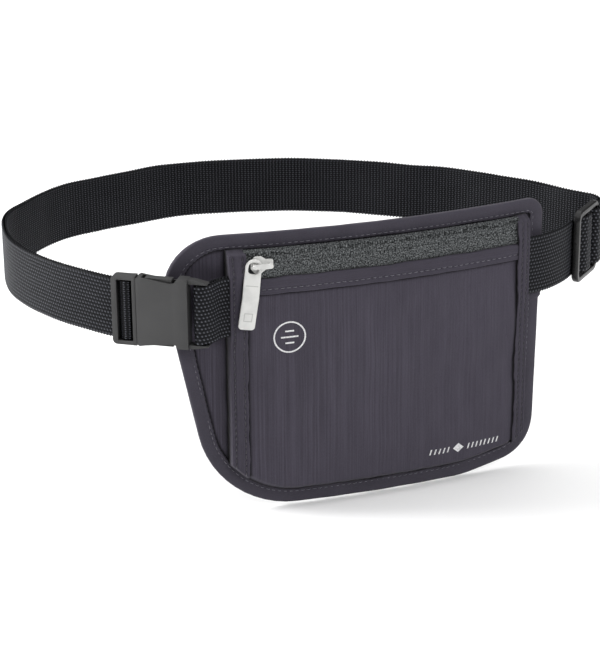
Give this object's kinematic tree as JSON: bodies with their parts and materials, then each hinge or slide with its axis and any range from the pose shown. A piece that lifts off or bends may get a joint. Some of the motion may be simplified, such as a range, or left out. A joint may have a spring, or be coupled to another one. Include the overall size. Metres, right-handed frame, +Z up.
{
  "type": "money belt",
  "caption": "Flat zipped waist pouch on an adjustable webbing belt with a side-release buckle and a tri-glide adjuster.",
  "frame": {"origin": "middle of the waist loop, at mid-height of the webbing", "axes": "+Z up along the wearer, -Y to the front where the pouch hangs, +X to the right as seen from the front"},
  "size_m": [0.3023, 0.188, 0.1429],
  "materials": {
    "pouch_fabric": "woven polyester, matt, charcoal with a purple tint",
    "binding_fabric": "smooth woven binding tape, matt",
    "liner_film": "metallised shielding fabric",
    "zip_tape": "woven zip tape, dark grey",
    "zip_coil": "nylon coil",
    "slider_metal": "light grey paint, satin",
    "webbing": "ribbed polypropylene webbing, black",
    "buckle_plastic": "acetal, dark grey, fine spark texture"
  },
  "bodies": {
    "pouch": {"back_panel": "pouch_fabric", "edge_binding": "binding_fabric", "front_panel": "pouch_fabric", "rfid_liner_back": "liner_film", "rfid_liner_front": "liner_film", "zip_welt": "pouch_fabric", "side_trim_left": "pouch_fabric", "side_trim_right": "pouch_fabric", "zip_tape_upper": "zip_tape", "zip_tape_lower": "zip_tape", "zip_coil_upper": "zip_coil", "zip_coil_lower": "zip_coil", "zip_end_stop": "slider_metal", "buckle_female": "buckle_plastic", "strap_short": "webbing", "strap_bend_left": "webbing", "strap_back_outer": "webbing", "strap_back_inner": "webbing", "strap_bend_right": "webbing", "strap_right": "webbing"},
    "slider": {"zip_slider": "slider_metal"},
    "puller": {"zip_puller": "slider_metal"},
    "buckle_male": {"buckle_male": "buckle_plastic", "strap_buckle_turn": "webbing"},
    "prong_upper": {"prong_upper": "buckle_plastic"},
    "prong_lower": {"prong_lower": "buckle_plastic"},
    "tri_glide": {"tri_glide": "buckle_plastic", "strap_weave": "webbing", "strap_end_loop": "webbing"}
  },
  "joints": [
    {"name": "zip_slide", "type": "hinge", "parent": "pouch", "child": "slider", "pos_m": [0, 0.413, 0.02], "axis": [0, 0, 1], "range_deg": [0, 14.3]},
    {"name": "puller_swivel", "type": "hinge", "parent": "slider", "child": "puller", "pos_m": [-0.05539, -0.08393, 0.02], "axis": [-0.1044, -0.9945, 0], "range_deg": [-4, 45]},
    {"name": "buckle_release", "type": "slide", "parent": "pouch", "child": "buckle_male", "axis": [-0.848, 0.5299, 0], "range_m": [0, 0.026], "deforming": ["strap_bend_left", "prong_upper", "prong_lower"]},
    {"name": "prong_upper_squeeze", "type": "hinge", "parent": "buckle_male", "child": "prong_upper", "pos_m": [-0.10691, -0.07286, 0.0095], "axis": [0.5299, 0.848, 0], "range_deg": [0, 6.5], "stiffness_Nm_per_rad": 1.2},
    {"name": "prong_lower_squeeze", "type": "hinge", "parent": "buckle_male", "child": "prong_lower", "pos_m": [-0.10691, -0.07286, -0.0095], "axis": [-0.5299, -0.848, 0], "range_deg": [0, 6.5], "stiffness_Nm_per_rad": 1.2},
    {"name": "adjuster_slide", "type": "slide", "parent": "pouch", "child": "tri_glide", "axis": [-0.8572, -0.515, 0], "range_m": [0, 0.012], "deforming": ["strap_right", "strap_bend_right"]}
  ],
  "couplings": [
    {"joint": "prong_lower_squeeze", "follows": "prong_upper_squeeze", "ratio": 1}
  ]
}
